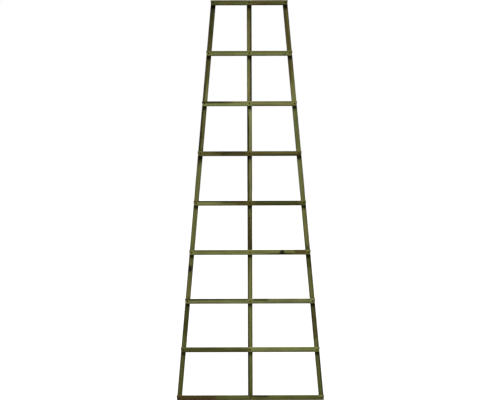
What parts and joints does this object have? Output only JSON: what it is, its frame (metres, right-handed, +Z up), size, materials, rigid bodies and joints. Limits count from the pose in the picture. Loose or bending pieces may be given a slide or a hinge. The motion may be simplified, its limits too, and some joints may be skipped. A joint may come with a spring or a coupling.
{
  "type": "espalier frame",
  "caption": "Flat trapezoid garden trellis of nailed pressure-treated pine laths: level cross laths on a plumb centre upright and two raked side uprights, to train a climbing plant on.",
  "frame": {"origin": "middle of the foot: half way across, in the plane where cross laths and uprights meet, at the bottom edge", "axes": "+X to the right seen from the front, +Y from the cross laths at the front to the uprights at the back, +Z up"},
  "size_m": [0.672, 0.022, 1.8],
  "materials": {
    "treated_pine": "planed pine, pressure-treated olive green with brown streaks, matt",
    "nail_steel": "dull, darkened steel nail heads"
  },
  "bodies": {
    "root": {"left_upright": "treated_pine", "centre_upright": "treated_pine", "right_upright": "treated_pine", "cross_lath_1": "treated_pine", "cross_lath_2": "treated_pine", "cross_lath_3": "treated_pine", "cross_lath_4": "treated_pine", "cross_lath_5": "treated_pine", "cross_lath_6": "treated_pine", "cross_lath_7": "treated_pine", "cross_lath_8": "treated_pine", "cross_lath_9": "treated_pine", "nails_1": "nail_steel", "nails_2": "nail_steel", "nails_3": "nail_steel", "nails_4": "nail_steel", "nails_5": "nail_steel", "nails_6": "nail_steel", "nails_7": "nail_steel", "nails_8": "nail_steel", "nails_9": "nail_steel"}
  },
  "joints": []
}
